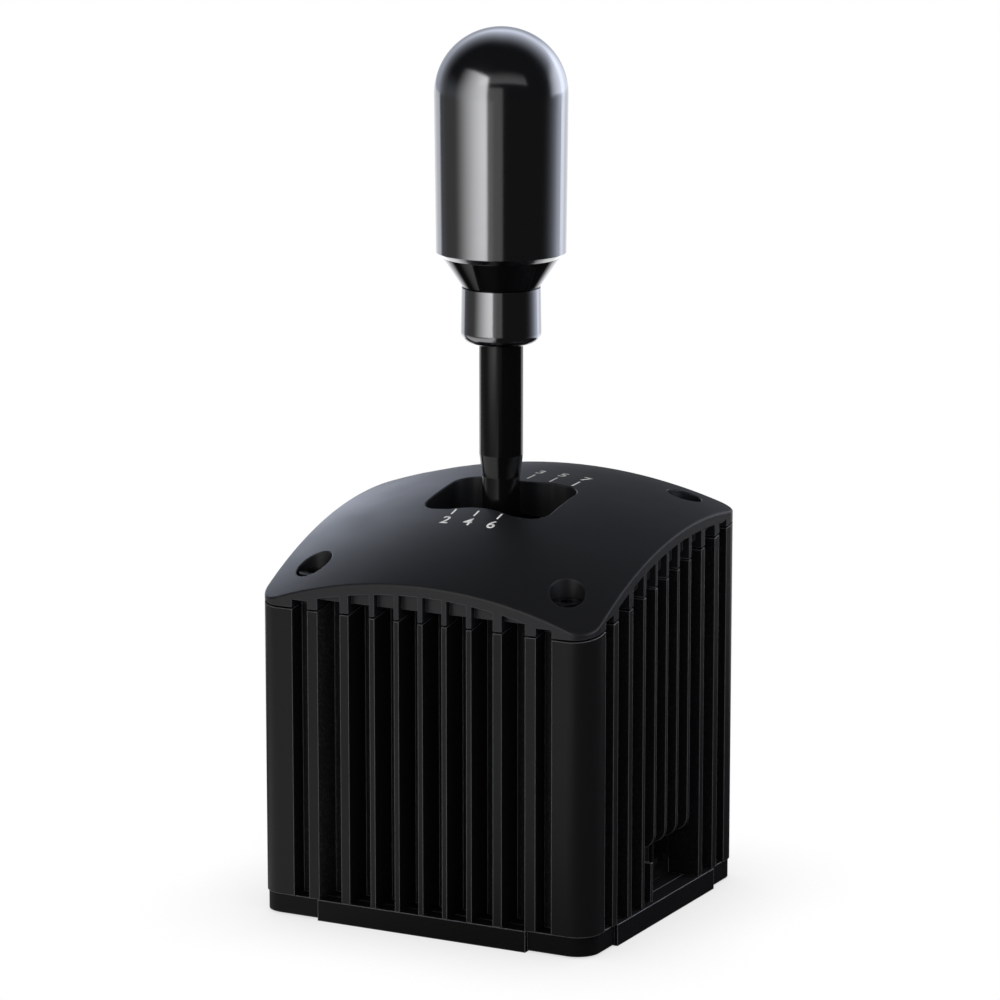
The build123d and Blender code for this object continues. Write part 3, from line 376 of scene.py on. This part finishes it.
# %% Press a mark on the cover
print_white = finish("print_white", (0.9, 0.9, 0.9), roughness=0.5, specular=0.3,
                     bump=0.000002, edge_radius=0.00002, edge_highlight_gain=1.0)
print_thickness = 0.00006
above_cover = cad_low.z + 0.16
marks = []
print("print", 1000 * print_thickness, "mm thick")


def press_on_cover(piece):
    """Lays a flat mark on the cover, as thick as a print, and lets it ride on the root."""
    bpy.ops.object.select_all(action="DESELECT")
    piece.select_set(True)
    bpy.context.view_layer.objects.active = piece
    bpy.ops.object.transform_apply(location=True, rotation=True, scale=True)
    wrap = piece.modifiers.new("press", "SHRINKWRAP")
    wrap.target = nodes["top_cover"]
    wrap.wrap_method = "PROJECT"
    wrap.use_project_z = True
    wrap.use_negative_direction = True
    wrap.use_positive_direction = False
    wrap.offset = print_thickness / 2
    bpy.ops.object.modifier_apply(modifier=wrap.name)
    wall = piece.modifiers.new("print", "SOLIDIFY")
    wall.thickness = print_thickness
    wall.offset = 0.0
    bpy.ops.object.modifier_apply(modifier=wall.name)
    piece.data.materials.clear()
    piece.data.materials.append(print_white)
    marks.append(piece)
    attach(piece, "root")


# %% Print the numbers and the ticks
digit_size = 0.0062
tick_width = 0.00065
near_row = {"2": -0.0084, "4": -0.0002, "6": 0.0082}
far_row = {"R": -0.0151, "1": -0.0079, "3": 0.0013, "5": 0.0095, "7": 0.0177}
rows = (("near", near_row, (-0.0186, -0.0151), -0.0225), ("far", far_row, (0.016, 0.0216), 0.0258))
for row_name, row, (tick_low, tick_high), digit_y in rows:
    for mark, x in row.items():
        bpy.ops.object.text_add(location=(x, digit_y, above_cover))
        digit = bpy.context.object
        digit.data.body = mark
        digit.data.size = digit_size
        digit.data.align_x = "CENTER"
        digit.data.align_y = "CENTER"
        digit.data.resolution_u = 6
        digit.data.offset = 0.00008
        bpy.ops.object.convert(target="MESH")
        digit = bpy.context.object
        digit.name = "gear_number_" + mark
        press_on_cover(digit)

        bpy.ops.mesh.primitive_plane_add(size=1.0, location=(x, (tick_low + tick_high) / 2, above_cover))
        tick = bpy.context.object
        tick.name = "gear_tick_" + mark
        tick.scale = (tick_width, tick_high - tick_low, 1.0)
        press_on_cover(tick)
    print(row_name, "row", list(row))

# %% [markdown]
# ## The studio
#
# A black object shows only what it mirrors, so the studio is made for its reflections: a large
# softbox in front on the left gives the knob its broad band. Its light fades towards its left
# end, as a lamp behind one end of a cloth does, so the band has a soft and a crisp edge. Dim
# panels stand beside it and over it. Light linking keeps the other lamps to their pieces: one
# gives the cover's far left slope its cold sheen, one lights the opening, one draws the thin
# bright edges of the right face from high up, and one lights the print.


# %% A softbox between two azimuths
def softbox(name, azimuths, distance, heights, radiance, color=(1.0, 1.0, 1.0), fades=(), only=()):
    """An area light facing the shifter, between two azimuths and two heights.

    Each fade is an axis of the lamp with the places where its light is out and where it is full.
    With pieces in only, the lamp lights nothing else.
    """
    middle = math.radians((azimuths[0] + azimuths[1]) / 2)
    half_angle = math.radians((azimuths[1] - azimuths[0]) / 2)
    center_height = (heights[0] + heights[1]) / 2
    place = Vector((math.sin(middle) * distance, -math.cos(middle) * distance, center_height))
    facing = (Vector((0, 0, center_height)) - place).to_track_quat("-Z", "Y").to_euler()
    bpy.ops.object.light_add(type="AREA", location=place, rotation=facing)
    lamp = bpy.context.object
    lamp.name = name
    lamp.data.shape = "RECTANGLE"
    lamp.data.size = 2 * distance * math.tan(half_angle)
    lamp.data.size_y = heights[1] - heights[0]
    lamp.data.energy = 4 * radiance * lamp.data.size * lamp.data.size_y
    lamp.data.color = color
    if fades:
        lamp.data.use_nodes = True
        lamp_tree = lamp.data.node_tree
        on_lamp = add_node(lamp_tree, "ShaderNodeNewGeometry")
        along = add_node(lamp_tree, "ShaderNodeSeparateXYZ")
        lamp_tree.links.new(on_lamp.outputs["Parametric"], along.inputs[0])
        strength = 1.0
        for axis, out_at, full_at in fades:
            level = smooth(lamp_tree, along.outputs[axis], *(
                (out_at, full_at, 0.0, 1.0) if out_at < full_at else (full_at, out_at, 1.0, 0.0)))
            strength = math_node(lamp_tree, "MULTIPLY", level, strength)
        lamp_tree.links.new(strength, lamp_tree.nodes["Emission"].inputs["Strength"])
    if only:
        receivers = bpy.data.collections.new("lit_by_" + name)
        for piece in only:
            receivers.objects.link(piece)
        lamp.light_linking.receiver_collection = receivers
    print(name, "watts", round(lamp.data.energy, 1))


# %% Place the softboxes
softbox("key_softbox", (-66, 3.5), 0.8, (0.02, 0.9), 1.4, fades=(("X", 0.1, 0.95),))
softbox("fill_panel", (3.5, 30), 0.8, (0.02, 0.5), 0.15)
softbox("overhead_panel", (-14, 74), 0.8, (0.62, 1.12), 0.15, fades=(("Y", 1.0, 0.1),))
softbox("cover_glow", (-160, -104), 0.8, (0.13, 0.95), 2.5, color=(0.78, 0.84, 1.0),
        fades=(("X", 0.1, 0.55), ("X", 1.6, 0.5), ("Y", 1.0, 0.1)),
        only=(nodes["top_cover"], nodes["cover_screws"]))
softbox("opening_glow", (60, 120), 0.8, (0.13, 0.5), 2.0, color=(0.84, 0.89, 1.0),
        only=(nodes["top_cover"], nodes["dust_dome"]))
case_pieces = [nodes[name] for name in (
    "corner_posts", "panel_front", "panel_right", "base_plate", "end_foot_rails", "side_foot_rails")]
softbox("edge_lamp", (80, 150), 0.6, (1.0, 1.5), 14.0, color=(0.9, 0.94, 1.0), only=case_pieces)
softbox("mark_lamp", (-40, 0), 0.5, (0.45, 0.85), 3.5, only=marks)

# %% [markdown]
# ## The rim round the knob
#
# In the photograph a pale line runs round the knob, where it mirrors the white backdrop. A lamp
# behind the knob would show as a flat patch, so a large clear sphere glows here instead. It is
# brightest behind the knob, it fades round its sides, and only the knob's pieces mirror it.

# %% The rim glow
bpy.ops.mesh.primitive_uv_sphere_add(segments=64, ring_count=32, radius=0.5, location=(0, 0, 0.25))
rim_glow = bpy.context.object
rim_glow.name = "rim_glow"
rim_glow.visible_camera = False
rim_glow.visible_diffuse = False
rim_glow.visible_shadow = False
glow_look = bpy.data.materials.new("rim_glow")
glow_look.use_nodes = True
glow_look.cycles.emission_sampling = "NONE"
tree = glow_look.node_tree
tree.nodes.clear()
outward = tree.nodes.new("ShaderNodeVectorMath")
outward.operation = "NORMALIZE"
tree.links.new(add_node(tree, "ShaderNodeTexCoord").outputs["Object"], outward.inputs[0])
facing_away = tree.nodes.new("ShaderNodeVectorMath")
facing_away.operation = "DOT_PRODUCT"
facing_away.inputs[1].default_value = -to_camera
tree.links.new(outward.outputs[0], facing_away.inputs[0])
leftward = math_node(tree, "MAXIMUM", towards(tree, outward.outputs[0], -62.4), 0.0)
along_ring = math_node(tree, "SUBTRACT", facing_away.outputs["Value"],
                       math_node(tree, "MULTIPLY", leftward, 0.55))
outer_fade = add_node(tree, "ShaderNodeMapRange")
set_range(outer_fade, -0.3, 0.6, 0.0, 1.21)
tree.links.new(along_ring, outer_fade.inputs["Value"])
outer_fade = math_node(tree, "POWER", outer_fade.outputs["Result"], 3.0)
inner_fade = smooth(tree, facing_away.outputs["Value"], 0.62, 0.84, 1.0, 0.28)
glow = add_node(tree, "ShaderNodeEmission", Color=(0.8, 0.85, 1.0, 1.0))
tree.links.new(math_node(tree, "MULTIPLY", outer_fade, inner_fade), glow.inputs["Strength"])
clear = add_node(tree, "ShaderNodeBsdfTransparent")
both = add_node(tree, "ShaderNodeAddShader")
tree.links.new(glow.outputs[0], both.inputs[0])
tree.links.new(clear.outputs[0], both.inputs[1])
end = add_node(tree, "ShaderNodeOutputMaterial")
tree.links.new(both.outputs[0], end.inputs["Surface"])
rim_glow.data.materials.append(glow_look)
lever_pieces = bpy.data.collections.new("lit_by_rim_glow")
for name in ("knob_body", "knob_collar", "knob_cone"):
    lever_pieces.objects.link(nodes[name])
rim_glow.light_linking.receiver_collection = lever_pieces

# %% [markdown]
# ## The backdrop
#
# The backdrop is white to the camera. A white room all round would turn the black case grey, so
# in reflections it glows only low down: behind the shifter, to its right, and dimly to its left,
# where it softens the knob's edge. The room above and in front is dark. The floor is done the
# same way: white to the camera, with a soft contact shadow, and in reflections bright only in
# two wedges, which light the lower edges of the cone and the collar.


# %% The backdrop in the world
room_level = 0.02
diffuse_level = 0.35
world = bpy.data.worlds.new("studio")
bpy.context.scene.world = world
world.use_nodes = True
tree = world.node_tree
tree.nodes.clear()
ray = add_node(tree, "ShaderNodeLightPath")
direction = add_node(tree, "ShaderNodeTexCoord").outputs["Generated"]
height = add_node(tree, "ShaderNodeSeparateXYZ")
tree.links.new(direction, height.inputs[0])
back_glow = smooth(tree, towards(tree, direction, -160), 0.15, 0.65, 0.0, 0.17)
right_glow = math_node(tree, "MULTIPLY",
                       smooth(tree, towards(tree, direction, 158), 0.75, 0.95, 0.0, 1.0),
                       smooth(tree, height.outputs["Z"], 0.25, 0.5, 1.0, 0.0))
left_glow = math_node(tree, "MULTIPLY",
                      smooth(tree, towards(tree, direction, -85), 0.3, 0.9, 0.0, 0.13),
                      smooth(tree, height.outputs["Z"], 0.0, 0.4, 1.0, 0.0))
room = math_node(tree, "ADD", math_node(tree, "ADD", back_glow, right_glow), room_level)
room = math_node(tree, "ADD", room, left_glow)
mirrored = math_node(tree, "MULTIPLY", room, ray.outputs["Is Glossy Ray"])
seen = math_node(tree, "MAXIMUM", ray.outputs["Is Camera Ray"], ray.outputs["Is Transmission Ray"])
lit = math_node(tree, "MULTIPLY", ray.outputs["Is Diffuse Ray"], diffuse_level)
strength = math_node(tree, "MAXIMUM", math_node(tree, "MAXIMUM", seen, mirrored), lit)
tint = add_node(tree, "ShaderNodeMix", data_type="RGBA")
tint.inputs["A"].default_value = (1.0, 1.0, 1.0, 1.0)
tint.inputs["B"].default_value = (0.86, 0.9, 1.0, 1.0)
tree.links.new(ray.outputs["Is Glossy Ray"], tint.inputs["Factor"])
shade = add_node(tree, "ShaderNodeBackground")
tree.links.new(tint.outputs["Result"], shade.inputs["Color"])
tree.links.new(strength, shade.inputs["Strength"])
end = add_node(tree, "ShaderNodeOutputWorld")
tree.links.new(shade.outputs[0], end.inputs["Surface"])
print("world nodes", len(tree.nodes))

# %% A plain floor
bpy.ops.mesh.primitive_plane_add(size=8.0, location=(0, 0, cad_low.z))
floor = bpy.context.object
floor.name = "floor"
print("floor at", round(cad_low.z, 4))

# %% The floor as the camera sees it
paper = bpy.data.materials.new("paper")
paper.use_nodes = True
tree = paper.node_tree
tree.nodes.clear()
ray = add_node(tree, "ShaderNodeLightPath")
contact = add_node(tree, "ShaderNodeAmbientOcclusion", samples=8, Distance=0.05)
contact.inputs["Color"].default_value = (1.0, 1.0, 1.0, 1.0)
shadow = add_node(tree, "ShaderNodeMapRange")
set_range(shadow, 0.3, 1.0, 0.72, 1.0)
tree.links.new(contact.outputs["AO"], shadow.inputs["Value"])
white = add_node(tree, "ShaderNodeEmission")
tree.links.new(shadow.outputs["Result"], white.inputs["Strength"])
print("contact shadow within", contact.inputs["Distance"].default_value, "m")

# %% The floor in reflections
on_floor = add_node(tree, "ShaderNodeTexCoord").outputs["Object"]


def wedge(azimuth, narrowness, low, high, level):
    """A bright wedge of the floor: it opens from the origin towards an azimuth."""
    aside = math_node(tree, "ABSOLUTE", towards(tree, on_floor, azimuth + 90))
    inside = math_node(tree, "SUBTRACT", towards(tree, on_floor, azimuth),
                       math_node(tree, "MULTIPLY", aside, narrowness))
    return smooth(tree, inside, low, high, 0.0, level)


front_left = math_node(tree, "MULTIPLY", wedge(-40, 0.7, 0.0, 0.1, 0.8),
                       smooth(tree, towards(tree, on_floor, -40), 0.4, 0.65, 1.0, 0.12))
back = math_node(tree, "MULTIPLY", wedge(-152, 0.8, 0.03, 0.15, 1.4),
                 smooth(tree, towards(tree, on_floor, -152), 0.4, 1.0, 1.0, 0.5))
mirrored = math_node(tree, "ADD", math_node(tree, "ADD", front_left, back), room_level)
mirror = add_node(tree, "ShaderNodeEmission")
tree.links.new(mirrored, mirror.inputs["Strength"])
print("wedges of light on the floor", 2)

# %% Choose by the kind of ray
plain = add_node(tree, "ShaderNodeBsdfDiffuse", Color=(0.8, 0.8, 0.8, 1.0))
choose_mirror = add_node(tree, "ShaderNodeMixShader")
tree.links.new(ray.outputs["Is Glossy Ray"], choose_mirror.inputs[0])
tree.links.new(plain.outputs[0], choose_mirror.inputs[1])
tree.links.new(mirror.outputs[0], choose_mirror.inputs[2])
choose_camera = add_node(tree, "ShaderNodeMixShader")
seen = math_node(tree, "MAXIMUM", ray.outputs["Is Camera Ray"], ray.outputs["Is Transmission Ray"])
tree.links.new(seen, choose_camera.inputs[0])
tree.links.new(choose_mirror.outputs[0], choose_camera.inputs[1])
tree.links.new(white.outputs[0], choose_camera.inputs[2])
end = add_node(tree, "ShaderNodeOutputMaterial")
tree.links.new(choose_camera.outputs[0], end.inputs["Surface"])
floor.data.materials.append(paper)
print("floor nodes", len(tree.nodes))
